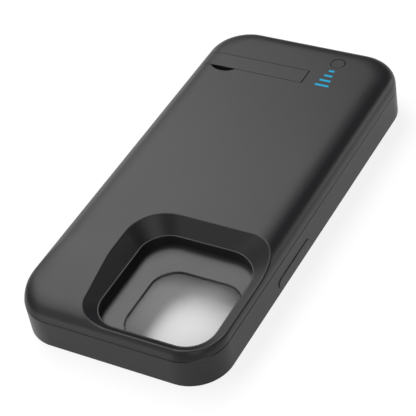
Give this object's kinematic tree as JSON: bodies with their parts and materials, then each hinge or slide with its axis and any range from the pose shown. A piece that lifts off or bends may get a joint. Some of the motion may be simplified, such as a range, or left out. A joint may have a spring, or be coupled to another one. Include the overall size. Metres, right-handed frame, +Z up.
{
  "type": "battery charging case",
  "caption": "Slim black charging case with a built-in battery: open pocket, soft-shouldered back, camera opening, folding stand, charge lights and push button.",
  "frame": {"origin": "middle of the footprint, on the surface that the case lies on, open side down", "axes": "+Z up through the back, +Y towards the charging end, +X towards the side key"},
  "size_m": [0.0776, 0.1616, 0.0187],
  "materials": {
    "frame_plastic": "fine moulded grain, black",
    "back_plastic": "soft-touch black",
    "tray_plastic": "fine moulded grain, black",
    "stand_plastic": "fine moulded grain, black",
    "steel": "zinc plated",
    "button_plastic": "soft-touch black",
    "switch_plastic": "moulded black",
    "light_guide_plastic": "clear polycarbonate, lit blue",
    "led_resin": "clear resin",
    "board_laminate": "green solder mask",
    "chip_resin": "moulded epoxy",
    "ferrite": "pressed ferrite",
    "capacitor_ceramic": "fired ceramic",
    "cell_foil": "laminated pouch foil",
    "pad_foam": "adhesive foam",
    "nickel": "nickel strip",
    "lead_insulation": "silicone insulation",
    "connector_plastic": "moulded nylon",
    "plug_metal": "bright stainless",
    "socket_steel": "drawn stainless",
    "blade_plastic": "moulded black",
    "ribbon_film": "polyimide film",
    "key_plastic": "fine moulded grain, black"
  },
  "bodies": {
    "case": {"bumper_frame": "frame_plastic", "inner_tray": "tray_plastic", "back_housing": "back_plastic", "kickstand_pin": "steel", "power_switch": "switch_plastic", "light_guide": "light_guide_plastic", "charge_leds": "led_resin", "control_board": "board_laminate", "board_screws": "steel", "charge_controller": "chip_resin", "power_inductor": "ferrite", "filter_capacitors": "capacitor_ceramic", "battery_cell": "cell_foil", "battery_pad": "pad_foam", "protection_board": "board_laminate", "cell_tabs": "nickel", "battery_leads": "lead_insulation", "battery_connector": "connector_plastic", "connector_board": "board_laminate", "connector_screws": "steel", "dock_plug": "plug_metal", "plug_base": "connector_plastic", "charging_socket": "socket_steel", "socket_blade": "blade_plastic", "board_ribbon": "ribbon_film", "ribbon_connectors": "connector_plastic"},
    "stand": {"kickstand_bar": "stand_plastic"},
    "power_button": {"power_button": "button_plastic"},
    "side_key": {"side_key": "key_plastic"},
    "volume_up_key": {"volume_up_key": "key_plastic"},
    "volume_down_key": {"volume_down_key": "key_plastic"}
  },
  "joints": [
    {"name": "stand_hinge", "type": "hinge", "parent": "case", "child": "stand", "pos_m": [0.0056, 0.0589, 0.0179], "axis": [0, 1, 0], "range_deg": [0, 75]},
    {"name": "power_button_press", "type": "slide", "parent": "case", "child": "power_button", "axis": [0, 0, -1], "range_m": [0, 0.00035], "stiffness_N_per_m": 1500},
    {"name": "side_key_press", "type": "slide", "parent": "case", "child": "side_key", "axis": [-1, 0, 0], "range_m": [0, 0.0004], "stiffness_N_per_m": 1500},
    {"name": "volume_up_key_press", "type": "slide", "parent": "case", "child": "volume_up_key", "axis": [1, 0, 0], "range_m": [0, 0.0004], "stiffness_N_per_m": 1500},
    {"name": "volume_down_key_press", "type": "slide", "parent": "case", "child": "volume_down_key", "axis": [1, 0, 0], "range_m": [0, 0.0004], "stiffness_N_per_m": 1500}
  ]
}
